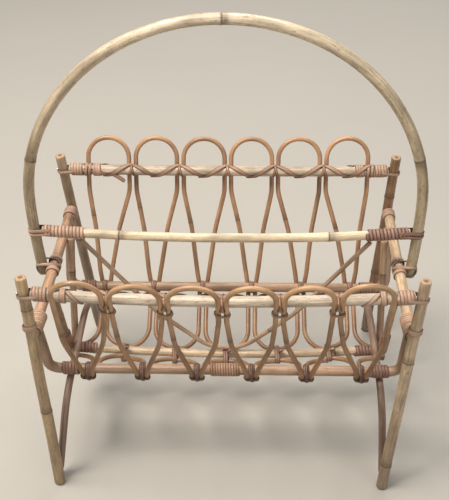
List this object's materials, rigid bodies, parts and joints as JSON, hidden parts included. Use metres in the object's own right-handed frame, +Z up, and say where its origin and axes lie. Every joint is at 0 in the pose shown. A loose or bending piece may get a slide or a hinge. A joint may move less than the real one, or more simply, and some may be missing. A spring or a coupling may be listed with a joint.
{
  "type": "magazine rack",
  "caption": "Free-standing cane magazine rack with splayed posts, a bent hoop handle, a central crossbar and two pockets of looped core cane.",
  "frame": {"origin": "on the floor, at the middle of the rack's outline", "axes": "+Z up along the hoop handle, +Y from the front pocket to the back pocket, +X to the right seen from the front"},
  "size_m": [0.468, 0.3116, 0.5454],
  "materials": {
    "binding": "satin",
    "back_loop_core": "satin",
    "pale_cane": "satin",
    "dark_binding": "satin",
    "brace_cane": "satin",
    "front_loop_core": "satin",
    "hoop_cane": "satin",
    "hanger_cane": "satin",
    "arch_cane": "satin",
    "lower_rail_cane": "satin",
    "nail": "satin",
    "post_cane": "satin",
    "stretcher_cane": "satin",
    "rail_cane": "satin"
  },
  "bodies": {
    "root": {"back_junction_ties": "binding", "back_loop_1": "back_loop_core", "back_loop_2": "back_loop_core", "back_loop_3": "back_loop_core", "back_loop_4": "back_loop_core", "back_loop_5": "back_loop_core", "back_loop_6": "back_loop_core", "back_waist_ties": "binding", "crossbar": "pale_cane", "crossbar_wrap_left": "binding", "crossbar_wrap_right": "dark_binding", "divider_brace": "brace_cane", "front_junction_ties": "binding", "front_loop_1": "front_loop_core", "front_loop_2": "front_loop_core", "front_loop_3": "front_loop_core", "front_loop_4": "front_loop_core", "front_loop_5": "front_loop_core", "front_loop_6": "front_loop_core", "front_waist_ties": "binding", "hanger_wraps": "binding", "hoop": "hoop_cane", "hoop_straps": "binding", "keel_end_wraps": "binding", "keel_hanger_back_left": "hanger_cane", "keel_hanger_back_right": "hanger_cane", "keel_hanger_front_left": "hanger_cane", "keel_hanger_front_right": "hanger_cane", "keel_rail": "pale_cane", "keel_ties": "binding", "leg_arch_left": "arch_cane", "leg_arch_right": "arch_cane", "lower_rail_back": "lower_rail_cane", "lower_rail_end_wraps": "binding", "lower_rail_front": "lower_rail_cane", "lower_rail_splice_wrap": "binding", "nails": "nail", "post_back_left": "post_cane", "post_back_right": "post_cane", "post_front_left": "post_cane", "post_front_right": "post_cane", "post_straps": "binding", "stretcher_back_wraps": "binding", "stretcher_cone_wraps": "binding", "stretcher_left": "stretcher_cane", "stretcher_right": "stretcher_cane", "top_rail_back": "rail_cane", "top_rail_end_wraps": "binding", "top_rail_front": "rail_cane", "top_rail_lacing_back": "binding", "top_rail_lacing_front": "binding"}
  },
  "joints": []
}
